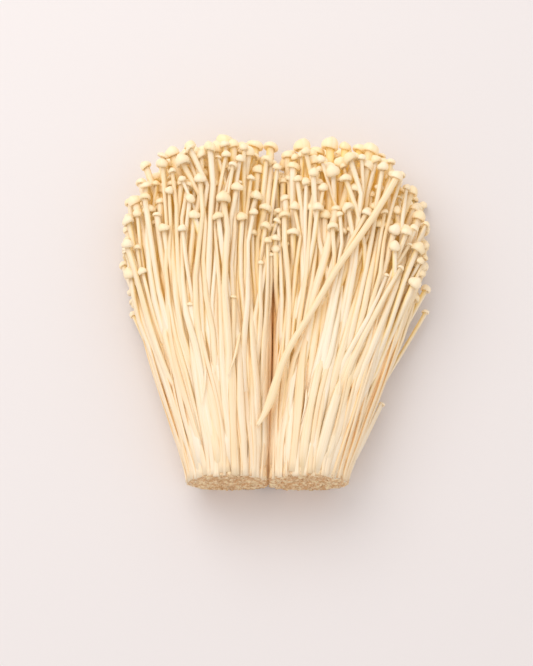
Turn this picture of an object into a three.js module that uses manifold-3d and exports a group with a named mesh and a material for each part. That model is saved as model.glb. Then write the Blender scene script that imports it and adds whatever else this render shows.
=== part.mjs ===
// An enoki mushroom bunch, split in two at its root and lying on a flat surface. Millimetres, +Z up.
// The cut root ends face -Y and the caps lie towards +Y. Each half is one clump of long thin mushrooms that
// grow from a fused root, and one loose mushroom lies across both halves.
import * as THREE from 'three';
import { mergeVertices } from 'three/addons/utils/BufferGeometryUtils.js';
import Module from 'manifold-3d';

// Driving dimensions of one half
const LENGTH = 147; // from the cut face to the furthest caps
const BASE_WIDTH = 33.5; // across the cut face, from the seam outwards
const FAN_WIDTH = 64; // across the fan of caps, from the seam outwards
const FAN_START = 105; // distance from the cut where the fan reaches its full width
const FAN_EASE = 1.35; // 1 would spread the fan evenly up to there, and more keeps the root narrow longer
const BASE_HEIGHT = 33;
const FAN_HEIGHT = 31;
const FLAT_SHARE = 0.86; // the section is cut flat at this share of its radius, below and along the seam
const SEAM_SLOPE = 0.032; // the seam between the halves leans this much towards +X
const SEAM_GAP = 0.7; // clearance between the halves
const PAD_DEPTH = 6; // the trimmed root pad
const PAD_FLUTES = 24; // grooves round its side
const FLUTE_SHARE = 0.03; // their depth, as a share of the pad's radius
const JOIN_GAP = 0.3; // between solids that touch
const CORE_END = 100; // where the inside of a clump stops being solid
const CORE_SIZE = { root: 0.93, end: 0.12, power: 1.1 }; // shares of the section
const CORE_STEPS = 6;
const CORE_SIDES = 20;

// Mushrooms that fill a clump below its top layer, the same rule for both halves
const COUNT = 62; // before those that would lie in the top layer are left out
const TOP_LAYER = 0.5; // where that layer begins, as a share of the section's radius above its middle
const STEM_RADIUS = { thin: 1.0, thick: 1.8 };
const CAP_RATIO = { small: 1.75, large: 2.15 }; // cap radius over stem radius
const OUTWARD = 0.43; // 0.5 would spread the feet evenly, and less crowds them towards the outside
const FOOT_REACH = 0.88; // the furthest foot from the middle, as a share of the section's radius
const WANDER = 0.3; // how far tips stray from the order of the feet
const SHORTEST = 0.34; // how much shorter than its neighbours a mushroom may be
const SHORT = { rarity: 1.6, inside: 0.35 }; // more rarity leaves fewer short ones, fewer still inside
const THIN = { short: 0.75, chance: 0.6, rarity: 0.25 }; // a short one is thinner, more or less by chance
const FIRST_NUMBER = { left: 1, right: 501 }; // of the mushrooms' seeded draws
const DOME = { centre: 25, half: 39, drop: 0.29 }; // the clump's end: mm across it, and the share it drops
const TIP_MARGIN = 3; // room for a cap beyond the end of its stem

// All mushrooms
const ROOT_SHARE = 0.85; // a stem's radius at its root, as a share of its full one
const FULL_AT = 60; // distance from the cut where a stem has its full radius
const SIDES = 5;
const SEGMENT = 42; // length of one straight piece of stem
const FOOT_DEPTH = 1; // how far above the pad the stems begin, inside the core

// The top layer of each half, which shows most: cap x and y from the foot of the seam, depth under the
// clump's top, stem radius, cap radius, and where its foot is across the root, from 0 at the seam to 1. Left
// then right.
const TOP_MUSHROOMS = [
  [
    [-51.5, 135, 3, 1.25, 2.4, 0.45],
    [-45.5, 135.5, 4, 1.4, 2.6, 0.5],
    [-40.5, 139, 1, 1.6, 3.2, 0.28],
    [-33, 143.5, 9, 1.3, 2.6, 0.6],
    [-31.5, 139.5, 4, 1.8, 3.2, 0.42],
    [-34.5, 134, 5, 1.2, 2.2, 0.55],
    [-18.5, 145.5, 10, 1.6, 3.4, 0.3],
    [-21.5, 141.5, 4, 1.6, 3.1, 0.38],
    [-15, 142.5, 2, 1.4, 2.6, 0.12],
    [-26, 134.5, 5, 1.2, 2.1, 0.35],
    [-18.5, 132.5, 1, 1.4, 2.5, 0.33],
    [-5, 145, 9, 1.6, 3.5, 0.2],
    [-8.5, 139.5, 3, 1.5, 2.9, 0.25],
    [2, 144, 6, 1.5, 3.2, 0.08],
    [0.5, 135, 0, 1.2, 2.7, 0.07],
    [-5, 132.5, 2, 1.2, 2.7, 0.12],
    [-2, 128.5, 5, 1, 1.8, 0.1],
    [-21, 125.5, 1, 1.3, 2.3, 0.4],
    [-37, 125.5, 1, 1.1, 2.1, 0.75],
    [-34.5, 119.5, 3, 0.9, 1.7, 0.58],
    [-24.5, 119.5, 2, 0.9, 1.6, 0.45],
    [-52.5, 127.5, 4, 1.3, 2.4, 0.8],
    [-53, 119.5, 3, 1.6, 3, 0.78],
    [-58, 120, 2, 1.2, 2.3, 0.9],
    [-46, 118.5, 4, 1.2, 2.1, 0.7],
    [-57, 112.5, 2, 1.3, 2.2, 0.85],
    [-46.5, 112, 1, 1.2, 2.1, 0.7],
    [-59.5, 108.5, 2, 1.1, 2, 0.92],
    [-58.5, 102.5, 2, 1.2, 2.1, 0.9],
    [-44, 105.5, 2, 0.9, 1.7, 0.68],
  ],
  [
    [16.5, 143.5, 8, 1.6, 3.4, 0.2],
    [10.5, 139.5, 5, 1.4, 2.9, 0.12],
    [26, 143.5, 7, 1.6, 3.4, 0.3],
    [32.5, 143, 8, 1.4, 2.8, 0.4],
    [43.5, 141, 4, 1.9, 3.4, 0.3],
    [37.5, 137, 2, 1.5, 2.9, 0.18],
    [41.5, 133, 3, 1.5, 2.9, 0.4],
    [48.5, 135, 4, 1.5, 2.8, 0.48],
    [18.5, 136, 3, 1.3, 2.6, 0.25],
    [25.5, 132.5, 2, 1.4, 2.9, 0.34],
    [10.5, 133.5, 2, 1.4, 2.8, 0.17],
    [5.5, 128, 1, 1.1, 2, 0.04],
    [16.5, 125.5, 2, 1.4, 2.7, 0.2],
    [24, 125.5, 2, 1.4, 2.6, 0.32],
    [30, 127.5, 4, 1, 1.9, 0.4],
    [37.5, 124.5, 4, 1.1, 2, 0.5],
    [44, 121.5, 4, 1.1, 2, 0.6],
    [51, 129.5, 4, 1.2, 2.2, 0.6],
    [60.5, 123.5, 2, 1.6, 2.8, 0.58],
    [60, 117, 3, 1.2, 2, 0.7],
    [8.5, 120, 2, 1.2, 2, 0.12],
    [15.5, 115.5, 2, 1.2, 2.1, 0.22],
    [28.5, 114, 0, 1.6, 2.3, 0.22],
    [24.5, 114, 3, 1.2, 2.2, 0.3],
    [41.5, 113, 1, 1.4, 2.4, 0.24],
    [50, 109.5, 3, 1.2, 2, 0.6],
    [55.5, 107, 0, 1.5, 2.2, 0.4],
    [61, 106.5, 1, 1.3, 2.1, 0.6],
    [65, 109, 3, 1.3, 2.3, 0.75],
    [66, 102, 2, 1.2, 2.1, 0.85],
  ],
];
const TOP_FOOT_DEPTH = 0.05; // how far the layer's feet lie under the root's top, as a share of its radius
const TOP_BEND = 2; // 1 would lead them straight from foot to cap, and more turns them near the cap

// Strays that lean out of a clump: cap x and y from the foot of the seam, cap height, stem radius, and how
// far up the clump the mushroom breaks away. Left then right.
const STRAYS = [
  [
    [-57, 74, 7, 0.9, 0.45],
    [-61, 95, 9, 1.1, 0.6],
  ],
  [
    [67, 84, 12, 1.1, 0.5],
    [66.5, 75, 8, 0.9, 0.45],
    [50, 35.5, 6, 0.7, 0.2],
    [66, 93, 16, 1.2, 0.65],
  ],
];
const STRAY_FOOT = 0.84; // how far out their feet are, as a share of the section's radius
const STRAY_SPREAD = 0.35; // angle between their feet round the section
const STRAY_MIDDLE = 1.5; // which of them, counted from 0, would have its foot level with the middle
const STRAY_CAP_RATIO = 1.9;
const STRAY_BEND = 1.5; // how gently they leave the clump

// The loose mushroom that lies across both halves: x and y of its line from its torn foot to its cap
const LOOSE_LINE = [
  [-4.5, 21.5],
  [2, 35],
  [10, 56],
  [24, 79.5],
  [38, 101],
  [54, 127.5],
];
const LOOSE_RADIUS = 1.45;
const LOOSE_TORN_RADIUS = 0.5; // at its torn foot
const LOOSE_TAPER = 2; // straight pieces of stem before it has its full radius
const LOOSE_CAP = 2.6;
const LOOSE_STEPS = 24;
const LOOSE_CAP_STEPS = 3; // the last of them, which the cap has to clear
const LOOSE_PIECES = 8; // straight pieces of its solid
const TAUT_ROUNDS = 300; // enough for its line to draw taut
const REST_GAP = 0.45; // between it and what it lies on

// Settling of the stems on each other and on the surface
const PLANE_STEP = 5; // distance between the cross-sections in which they are pushed apart
const PLANES = Math.ceil(LENGTH / PLANE_STEP) + 2;
const ROUNDS = 70;
const SINKING_ROUNDS = 42; // those in which gravity draws them down
const SINK = 0.05; // how far, each round
const ROOTED = 2; // the first cross-sections, where the feet have grown together and hold still
const PUSH = 0.35;
const SMOOTHING = 0.2;
const SPREAD_MARGIN = { side: 1, top: 2 }; // how far they may be pushed past the clump's outline

// A cap's outline over its radius: how far out, and how high above the end of the stem
const CAP_OUTLINE = [
  [0.95, -0.32],
  [0.92, 0.42],
  [0, 1],
];
const STEM_END = -0.3; // where the stem meets the cap

const COLOURS = { stem: 0xf2dcb0, root: 0xd2b380 };
const ROUGHNESS = 0.55;
const GOLDEN_ANGLE = Math.PI * (3 - Math.sqrt(5));

const wasm = await Module();
wasm.setup();

const mix = (a, b, t) => a + (b - a) * t;
const clamp = (v, low, high) => Math.min(high, Math.max(low, v));

// The k-th seeded draw of mushroom n, from 0 to 1: the digits of a large sine.
function draw(n, k) {
  const s = Math.sin(n * 12.9898 + k * 78.233) * 43758.5453;
  return s - Math.floor(s);
}

// The seam's x at y.
const seam = (y) => SEAM_SLOPE * y;

// A clump's width and height at distance y from the cut.
const fanned = (y) => Math.sin((Math.PI / 2) * clamp(y / FAN_START, 0, 1) ** FAN_EASE);
const widthAt = (y) => mix(BASE_WIDTH, FAN_WIDTH, fanned(y));
const heightAt = (y) => mix(BASE_HEIGHT, FAN_HEIGHT, clamp(y / LENGTH, 0, 1));

// A share of the way across or up a clump's section, from a place on the unit disc, and the other way round.
const shareOf = (u) => (Math.max(u, -FLAT_SHARE) + FLAT_SHARE) / (1 + FLAT_SHARE);
const discAt = (share) => share * (1 + FLAT_SHARE) - FLAT_SHARE;

// Maps a point (u, v) of the unit disc to x and z in the clump's section at y. side is -1 on the left.
function place(side, u, v, y) {
  return [seam(y) + side * (SEAM_GAP / 2 + widthAt(y) * shareOf(u)), heightAt(y) * shareOf(v)];
}

// The longest a mushroom grows at this distance from the seam.
function reachAt(across) {
  const off = Math.abs(across - DOME.centre) / DOME.half;
  return LENGTH * (1 - DOME.drop * off ** 3) - TIP_MARGIN;
}

// The mushrooms below the top layer. Their feet fill the section in a sunflower spiral, and their tips keep
// the same order.
function fillingOf(side) {
  const made = [];
  for (let k = 0; k < COUNT; k += 1) {
    const n = k + (side < 0 ? FIRST_NUMBER.left : FIRST_NUMBER.right);
    const rho = ((k + 0.5) / COUNT) ** OUTWARD;
    const root = [0, 1].map((i) => FOOT_REACH * rho * Math.cos(k * GOLDEN_ANGLE - (i * Math.PI) / 2));
    if (root[1] > TOP_LAYER) continue;
    const tip = root.map((at, i) => at + WANDER * (draw(n, i) - 0.5));
    const short = draw(n, 2) ** SHORT.rarity * mix(SHORT.inside, 1, rho);
    const thin = clamp(THIN.short * short + THIN.chance * (draw(n, 3) - THIN.rarity), 0, 1);
    const stem = mix(STEM_RADIUS.thick, STEM_RADIUS.thin, thin);
    const length = reachAt(FAN_WIDTH * shareOf(tip[0])) * (1 - SHORTEST * short);
    const cap = stem * mix(CAP_RATIO.small, CAP_RATIO.large, draw(n, 4));
    made.push({ root, tip, length, stem, cap, bend: 1 });
  }
  return made;
}

// A place on the unit disc at this share of the way across it, so far under its top.
function underTop(share, under) {
  const u = discAt(clamp(share, 0, 1));
  return [u, Math.sqrt(1 - u ** 2) - under];
}

// A mushroom of the top layer, from its row in the list.
function topMushroom(side, [x, y, depth, stem, cap, foot]) {
  const across = (side * (x - seam(y)) - SEAM_GAP / 2) / widthAt(y);
  const under = (depth / heightAt(y)) * (1 + FLAT_SHARE);
  const root = underTop(foot, TOP_FOOT_DEPTH).map((at) => at * FOOT_REACH);
  return { root, tip: underTop(across, under), length: y, stem, cap, bend: TOP_BEND };
}

// The k-th stray, from its row in the list.
function strayMushroom([x, y, z, stem, leaves], k) {
  const angle = (k - STRAY_MIDDLE) * STRAY_SPREAD;
  const root = [STRAY_FOOT * Math.cos(angle), STRAY_FOOT * Math.sin(angle)];
  return { root, tip: root, target: [x, z], length: y, stem, cap: stem * STRAY_CAP_RATIO, bend: 1, leaves };
}

// All mushrooms of one clump.
function mushroomsOf(side) {
  const half = side < 0 ? 0 : 1;
  const top = TOP_MUSHROOMS[half].map((row) => topMushroom(side, row));
  return [...fillingOf(side), ...top, ...STRAYS[half].map(strayMushroom)];
}

// A stem's radius at y: slender at the root.
const stemAt = (m, y) => m.stem * mix(ROOT_SHARE, 1, clamp(y / FULL_AT, 0, 1));

// Where a mushroom's line passes the cross-section at y before it settles, as x and z.
function firstPlace(side, m, y) {
  const t = clamp(y / m.length, 0, 1);
  const [u, v] = m.root.map((root, i) => mix(root, m.tip[i], t ** m.bend));
  const at = place(side, u, v, y);
  if (!m.target) return at;
  const away = clamp((t - m.leaves) / (1 - m.leaves), 0, 1) ** STRAY_BEND;
  return [mix(at[0], m.target[0], away), mix(at[1], m.target[1], away)];
}

// How far the mushrooms push each other in each cross-section, where they overlap.
function pushes(x, z, r, last) {
  const pushX = x.map(() => new Float64Array(PLANES));
  const pushZ = x.map(() => new Float64Array(PLANES));
  for (let i = 0; i < x.length; i += 1) {
    for (let k = i + 1; k < x.length; k += 1) {
      for (let j = ROOTED; j <= Math.min(last[i], last[k]); j += 1) {
        const dx = x[i][j] - x[k][j];
        const dz = z[i][j] - z[k][j];
        const apart = Math.hypot(dx, dz) + 1e-9;
        const push = (PUSH * Math.max(0, r[i][j] + r[k][j] - apart)) / apart;
        pushX[i][j] += push * dx;
        pushZ[i][j] += push * dz;
        pushX[k][j] -= push * dx;
        pushZ[k][j] -= push * dz;
      }
    }
  }
  return [pushX, pushZ];
}

// Draws a line straighter between its rooted part and its end.
function straighten(values, last) {
  const old = values.slice();
  for (let j = ROOTED; j < last; j += 1) {
    values[j] += SMOOTHING * ((old[j - 1] + old[j + 1]) / 2 - old[j]);
  }
}

// Lays out every mushroom's line plane by plane, then lets the stems push each other apart, sink and
// straighten. Returns x and z for each mushroom and plane.
function settle(side, mushrooms) {
  const last = mushrooms.map((m) => Math.ceil(m.length / PLANE_STEP));
  const planes = Array.from({ length: PLANES }, (_, j) => j * PLANE_STEP);
  const first = mushrooms.map((m) => planes.map((y) => firstPlace(side, m, y)));
  const x = first.map((row) => Float64Array.from(row, (at) => at[0]));
  const z = first.map((row) => Float64Array.from(row, (at) => at[1]));
  const r = mushrooms.map((m) =>
    planes.map((y) => (Math.abs(y - m.length) < PLANE_STEP ? m.cap : stemAt(m, y))),
  );
  for (let round = 0; round < ROUNDS; round += 1) {
    const sinking = round < SINKING_ROUNDS ? SINK : 0;
    const [pushX, pushZ] = pushes(x, z, r, last);
    mushrooms.forEach((m, i) => {
      for (let j = ROOTED; j <= last[i]; j += 1) {
        x[i][j] += pushX[i][j];
        z[i][j] += pushZ[i][j] - sinking;
      }
      straighten(x[i], last[i]);
      straighten(z[i], last[i]);
      for (let j = 0; j <= last[i]; j += 1) {
        const y = planes[j];
        const widest = m.target ? Infinity : widthAt(y) - r[i][j] + SPREAD_MARGIN.side;
        const out = clamp(side * (x[i][j] - seam(y)), SEAM_GAP / 2 + r[i][j], widest);
        x[i][j] = seam(y) + side * out;
        z[i][j] = clamp(z[i][j], r[i][j], heightAt(y) + SPREAD_MARGIN.top);
      }
    });
  }
  return { x, z };
}

// The point of a settled line at y, between its planes.
function pointAt(line, i, y) {
  const j = Math.floor(y / PLANE_STEP);
  const t = y / PLANE_STEP - j;
  const [x, z] = [line.x[i], line.z[i]].map((row) => mix(row[j], row[j + 1], t));
  return new THREE.Vector3(x, y, z);
}

// A solid for joining, from a closed three.js geometry.
function solidOf(geometry) {
  const bare = geometry.clone();
  bare.deleteAttribute('normal');
  bare.deleteAttribute('uv');
  const merged = mergeVertices(bare, 1e-4);
  return new wasm.Manifold(
    new wasm.Mesh({
      numProp: 3,
      vertProperties: merged.attributes.position.array,
      triVerts: new Uint32Array(merged.index.array),
    }),
  );
}

// The geometry of a joined solid.
function geometryOf(solid) {
  const mesh = solid.getMesh();
  return new THREE.BufferGeometry()
    .setAttribute('position', new THREE.BufferAttribute(mesh.vertProperties, 3))
    .setIndex(new THREE.BufferAttribute(mesh.triVerts, 1));
}

// Joins solids into one body. A small hollow that they seal between them is filled.
function fused(solids) {
  const bodies = wasm.Manifold.union(solids).decompose();
  return bodies.reduce((largest, body) => (body.volume() > largest.volume() ? body : largest));
}

// Bends a geometry made straight along Y, from y = 0, onto a line of points that are lengths[k] along it.
function bendOnto(geometry, points, lengths) {
  const position = geometry.attributes.position;
  const vertex = new THREE.Vector3();
  for (let i = 0; i < position.count; i += 1) {
    vertex.fromBufferAttribute(position, i);
    let k = 1;
    while (k < points.length - 1 && lengths[k] < vertex.y - 1e-6) k += 1;
    const tangent = points[k].clone().sub(points[k - 1]).normalize();
    const sideways = new THREE.Vector3(1, 0, 0).addScaledVector(tangent, -tangent.x).normalize();
    const upwards = new THREE.Vector3().crossVectors(sideways, tangent);
    const bent = points[k - 1].clone().addScaledVector(tangent, vertex.y - lengths[k - 1]);
    bent.addScaledVector(sideways, vertex.x).addScaledVector(upwards, vertex.z);
    position.setXYZ(i, bent.x, bent.y, bent.z);
  }
}

// A whole mushroom along a line of points: its stem, with a radius at each point, and its cap.
function mushroomSolid(points, radii, cap) {
  const lengths = [0];
  points.forEach((p, k) => k && lengths.push(lengths[k - 1] + p.distanceTo(points[k - 1])));
  const top = lengths.at(-1);
  const stem = points.map((p, k) => new THREE.Vector2(radii[k], Math.min(lengths[k], top + STEM_END * cap)));
  const dome = CAP_OUTLINE.map(([out, up]) => new THREE.Vector2(out * cap, top + up * cap));
  const geometry = new THREE.LatheGeometry([new THREE.Vector2(0, 0), ...stem, ...dome], SIDES);
  bendOnto(geometry, points, lengths);
  return solidOf(geometry);
}

// A unit cylinder mapped into the clump's section, shrunk to size(t, angle) of it, from y = from to y = to.
function sectionGeometry(side, from, to, steps, sides, size) {
  const geometry = new THREE.CylinderGeometry(1, 1, 1, sides, steps);
  const position = geometry.attributes.position;
  for (let i = 0; i < position.count; i += 1) {
    const t = position.getY(i) + 0.5;
    const share = size(t, Math.atan2(position.getZ(i), position.getX(i)));
    const [x, z] = place(side, position.getX(i) * share, position.getZ(i) * share, mix(from, to, t));
    position.setXYZ(i, x, mix(from, to, t), z);
  }
  // The left clump is a mirror image, which turns the faces round.
  if (side < 0) geometry.index.array.reverse();
  return geometry;
}

// The trimmed pad that the stems of a half have grown together in, and the solid inside of the clump.
function padGeometry(side) {
  const size = (t, angle) => 1 - FLUTE_SHARE * (1 - Math.cos(PAD_FLUTES * angle));
  return sectionGeometry(side, 0, PAD_DEPTH, 1, 2 * PAD_FLUTES, size);
}

function coreGeometry(side) {
  const size = (t) => mix(CORE_SIZE.root, CORE_SIZE.end, t ** CORE_SIZE.power);
  return sectionGeometry(side, PAD_DEPTH + JOIN_GAP, CORE_END, CORE_STEPS, CORE_SIDES, size);
}

// One clump: its mushrooms joined to its core.
function clumpGeometry(side, mushrooms, line) {
  const foot = PAD_DEPTH + JOIN_GAP + FOOT_DEPTH;
  const solids = mushrooms.map((m, i) => {
    const pieces = Math.max(2, Math.round((m.length - foot) / SEGMENT));
    const steps = Array.from({ length: pieces + 1 }, (_, k) => k / pieces);
    const points = steps.map((t) => pointAt(line, i, mix(foot, m.length, t)));
    return mushroomSolid(points, points.map((p) => stemAt(m, p.y)), m.cap);
  });
  return geometryOf(fused([...solids, solidOf(coreGeometry(side))]));
}

// How high a rod of this radius has to lie at x and y to clear every stem and cap below it.
function supportAt(clumps, x, y, radius) {
  let height = radius;
  const rest = (centre, off, reach) => {
    if (off < reach) height = Math.max(height, centre.z + Math.sqrt(reach ** 2 - off ** 2));
  };
  clumps.forEach(({ mushrooms, line }) => mushrooms.forEach((m, i) => {
    const head = pointAt(line, i, m.length);
    rest(head, Math.hypot(x - head.x, y - head.y), m.cap + radius + REST_GAP);
    if (y > m.length) return;
    const stem = pointAt(line, i, y);
    rest(stem, Math.abs(x - stem.x), stemAt(m, y) + radius + REST_GAP);
  }));
  return height;
}

// The loose mushroom's line: its plan drawn taut over the highest stems and caps that it crosses.
function looseLine(clumps) {
  const plan = new THREE.CatmullRomCurve3(LOOSE_LINE.map(([x, y]) => new THREE.Vector3(x, y, 0)));
  const points = plan.getSpacedPoints(LOOSE_STEPS);
  const radii = points.map((p, k) => (k > LOOSE_STEPS - LOOSE_CAP_STEPS ? LOOSE_CAP : LOOSE_RADIUS));
  const support = points.map((p, k) => supportAt(clumps, p.x, p.y, radii[k]));
  points.forEach((p, k) => p.setZ(support[k]));
  for (let round = 0; round < TAUT_ROUNDS; round += 1) {
    for (let k = 1; k < LOOSE_STEPS; k += 1) {
      points[k].z = Math.max(support[k], (points[k - 1].z + points[k + 1].z) / 2);
    }
  }
  return points;
}

function looseGeometry(clumps) {
  const points = looseLine(clumps).filter((_, k) => k % (LOOSE_STEPS / LOOSE_PIECES) === 0);
  const radii = points.map((_, k) => mix(LOOSE_TORN_RADIUS, LOOSE_RADIUS, Math.min(k / LOOSE_TAPER, 1)));
  return geometryOf(mushroomSolid(points, radii, LOOSE_CAP));
}

function mesh(name, geometry, colour) {
  const material = new THREE.MeshStandardMaterial({ color: colour, roughness: ROUGHNESS });
  const made = new THREE.Mesh(geometry, material);
  made.name = name;
  return made;
}

const bunch = new THREE.Group();
const clumps = [];
for (const [side, name] of [[-1, 'left'], [1, 'right']]) {
  const mushrooms = mushroomsOf(side);
  const line = settle(side, mushrooms);
  clumps.push({ mushrooms, line });
  bunch.add(mesh(`${name}_mushrooms`, clumpGeometry(side, mushrooms, line), COLOURS.stem));
  bunch.add(mesh(`${name}_root_pad`, padGeometry(side), COLOURS.root));
}
bunch.add(mesh('loose_mushroom', looseGeometry(clumps), COLOURS.stem));

// The origin is under the middle of the bunch, on the surface it lies on.
const box = new THREE.Box3().setFromObject(bunch);
bunch.position.set(-(box.min.x + box.max.x) / 2, -(box.min.y + box.max.y) / 2, -box.min.z);

export default bunch;
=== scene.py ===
from math import pi, radians, sin, cos, sqrt

import bpy
import numpy as np
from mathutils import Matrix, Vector


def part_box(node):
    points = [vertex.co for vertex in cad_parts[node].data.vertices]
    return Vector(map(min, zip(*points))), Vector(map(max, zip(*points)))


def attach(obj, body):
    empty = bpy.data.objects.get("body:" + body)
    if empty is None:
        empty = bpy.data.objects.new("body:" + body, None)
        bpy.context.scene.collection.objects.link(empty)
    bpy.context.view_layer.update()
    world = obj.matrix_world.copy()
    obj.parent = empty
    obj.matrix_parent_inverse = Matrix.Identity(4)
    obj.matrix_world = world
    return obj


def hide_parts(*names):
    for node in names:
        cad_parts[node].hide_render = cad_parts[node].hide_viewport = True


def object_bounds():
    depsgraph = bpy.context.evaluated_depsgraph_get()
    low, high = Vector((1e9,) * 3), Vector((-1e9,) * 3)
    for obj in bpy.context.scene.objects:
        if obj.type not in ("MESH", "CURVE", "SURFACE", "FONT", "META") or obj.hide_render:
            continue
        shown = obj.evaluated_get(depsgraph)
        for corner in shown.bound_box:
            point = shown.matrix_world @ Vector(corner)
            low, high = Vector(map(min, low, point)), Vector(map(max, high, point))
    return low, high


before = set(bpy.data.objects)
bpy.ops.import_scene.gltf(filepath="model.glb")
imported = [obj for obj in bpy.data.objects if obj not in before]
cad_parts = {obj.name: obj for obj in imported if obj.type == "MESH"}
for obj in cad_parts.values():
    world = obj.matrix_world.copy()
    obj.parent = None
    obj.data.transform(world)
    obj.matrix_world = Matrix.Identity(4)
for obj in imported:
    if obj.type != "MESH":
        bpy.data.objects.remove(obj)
cad_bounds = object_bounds()

# The view: a camera high over the cut end, as in the photograph, with a long lens. The light is soft and
# comes from the upper left, and the surface is plain and pale.
MM = 0.001
IMAGE_HEIGHT = 666  # pixels
PIXEL = 0.42 * MM  # size of one pixel at the bunch
IMAGE_CENTRE_OFF = (-8, -25)  # of the image's centre from the bunch's, in pixels, right and up
ELEVATION = radians(78)
LENS = 300  # mm, as is the sensor
SENSOR = 36
WINDOW_PLACE = (-0.4, 0.5, 0.8)  # metres, as is the size
WINDOW_SIZE = 0.9
WINDOW_WATTS = 4.2
WINDOW_COLOUR = (1.0, 0.98, 0.965)
SKY_COLOUR = (1.0, 0.975, 0.965, 1)
SKY_STRENGTH = 0.84


def aim(thing, place, target):
    """Puts a lamp or camera at a place, looking at a target."""
    thing.location = place
    thing.rotation_euler = (Vector(target) - Vector(place)).to_track_quat("-Z", "Y").to_euler()


def add_camera():
    """A camera whose frame is IMAGE_HEIGHT high at PIXEL a pixel, with the bunch off its middle."""
    data = bpy.data.cameras.new("view")
    data.lens = LENS
    data.sensor_width = SENSOR
    away = LENS / SENSOR * IMAGE_HEIGHT * PIXEL
    back = Vector((0, -cos(ELEVATION), sin(ELEVATION)))
    right = Vector((1, 0, 0))
    up = Vector((0, sin(ELEVATION), cos(ELEVATION)))
    middle = (cad_bounds[0] + cad_bounds[1]) / 2
    target = middle + right * IMAGE_CENTRE_OFF[0] * PIXEL + up * IMAGE_CENTRE_OFF[1] * PIXEL
    camera = bpy.data.objects.new("view", data)
    aim(camera, target + back * away, target)
    bpy.context.scene.collection.objects.link(camera)
    bpy.context.scene.camera = camera


def add_window():
    """A square area lamp that looks at the bunch."""
    data = bpy.data.lights.new("window", "AREA")
    data.size = WINDOW_SIZE
    data.energy = WINDOW_WATTS
    data.color = WINDOW_COLOUR
    lamp = bpy.data.objects.new("window", data)
    aim(lamp, WINDOW_PLACE, (0, 0, 0))
    bpy.context.scene.collection.objects.link(lamp)


def add_sky():
    """Even light from all sides."""
    world = bpy.data.worlds.new("studio")
    world.use_nodes = True
    background = world.node_tree.nodes["Background"]
    background.inputs["Color"].default_value = SKY_COLOUR
    background.inputs["Strength"].default_value = SKY_STRENGTH
    bpy.context.scene.world = world


add_camera()
add_window()
add_sky()
bpy.context.scene.view_settings.view_transform = "Standard"


class Value:
    """The output of a shader node. Arithmetic on it adds Math nodes."""

    def __init__(self, finish, socket):
        self.finish = finish
        self.socket = socket

    def math(self, operation, *others):
        """The output of a Math node that takes this value and the others."""
        inputs = {0: self, **dict(enumerate(others, 1))}
        return self.finish.node("ShaderNodeMath", {"operation": operation}, inputs)

    def __add__(self, other):
        return self.math("ADD", other)

    def __sub__(self, other):
        return self.math("SUBTRACT", other)

    def __mul__(self, other):
        return self.math("MULTIPLY", other)

    def up_to(self, most):
        """This value, or `most` where it is more."""
        return self.math("MINIMUM", most)

    def clipped(self):
        """This value, kept between 0 and 1."""
        return self.math("MAXIMUM", 0.0).up_to(1.0)

    def ramp(self, slope, start):
        """slope * value - start, kept between 0 and 1."""
        return (self * slope - start).clipped()


class Finish:
    """A material under a plain name, and the one way to add nodes to it."""

    def __init__(self, name):
        self.material = bpy.data.materials.new(name)
        self.material.use_nodes = True
        self.tree = self.material.node_tree
        self.shader = self.tree.nodes["Principled BSDF"]

    def node(self, kind, settings=None, inputs=None, output=0):
        """One output of a new node, with its settings made and its inputs fed."""
        made = self.tree.nodes.new(kind)
        for name, value in (settings or {}).items():
            setattr(made, name, value)
        for name, value in (inputs or {}).items():
            self.feed(made.inputs[name], value)
        return Value(self, made.outputs[output])

    def feed(self, socket, value):
        """Links a value to a socket, or sets a constant on it."""
        if isinstance(value, Value):
            self.tree.links.new(value.socket, socket)
        else:
            socket.default_value = value

    def set(self, **sockets):
        """Feeds sockets of the shader, named with underscores for spaces."""
        for name, value in sockets.items():
            self.feed(self.shader.inputs[name.replace("_", " ")], value)

    def mix(self, factor, a, b):
        """A colour between a and b."""
        return self.node("ShaderNodeMix", {"data_type": "RGBA"}, {0: factor, 6: a, 7: b}, 2)

    def noise(self, size, detail, squeeze=(1, 1, 1)):
        """Noise whose grains are about this size in metres, times 1 / squeeze along each axis."""
        place = self.node("ShaderNodeTexCoord", output="Object")
        scaled = self.node("ShaderNodeMapping", inputs={"Vector": place, "Scale": squeeze})
        inputs = {"Vector": scaled, "Scale": 1 / size, "Detail": detail}
        return self.node("ShaderNodeTexNoise", inputs=inputs, output="Fac")

    def streaks(self, width, length, detail=3.0):
        """Noise drawn out along each stem, by the attributes for where across and along it a point is."""
        across = self.attribute("across") * (1 / width)
        along_it = self.attribute("reach") * (1 / length)
        place = self.node("ShaderNodeCombineXYZ", inputs={"X": across, "Y": along_it})
        inputs = {"Vector": place, "Scale": 1.0, "Detail": detail}
        return self.node("ShaderNodeTexNoise", inputs=inputs, output="Fac")

    def attribute(self, name):
        """A number that the mesh carries at each point."""
        return self.node("ShaderNodeAttribute", {"attribute_name": name}, output="Fac")

    def bump(self, height, distance, strength):
        """Normals tilted by a height map."""
        inputs = {"Height": height, "Distance": distance, "Strength": strength}
        return self.node("ShaderNodeBump", inputs=inputs, output="Normal")


def srgb(red, green, blue):
    """A linear colour from its eight-bit screen values."""
    screen = np.array((red, green, blue)) / 255
    linear = np.where(screen > 0.04045, ((screen + 0.055) / 1.055) ** 2.4, screen / 12.92)
    return (*linear.tolist(), 1.0)


FLOOR_SIZE = 6  # metres
FLOOR_COLOUR = srgb(234, 228, 227)
FLOOR_ROUGHNESS = 0.6


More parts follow.
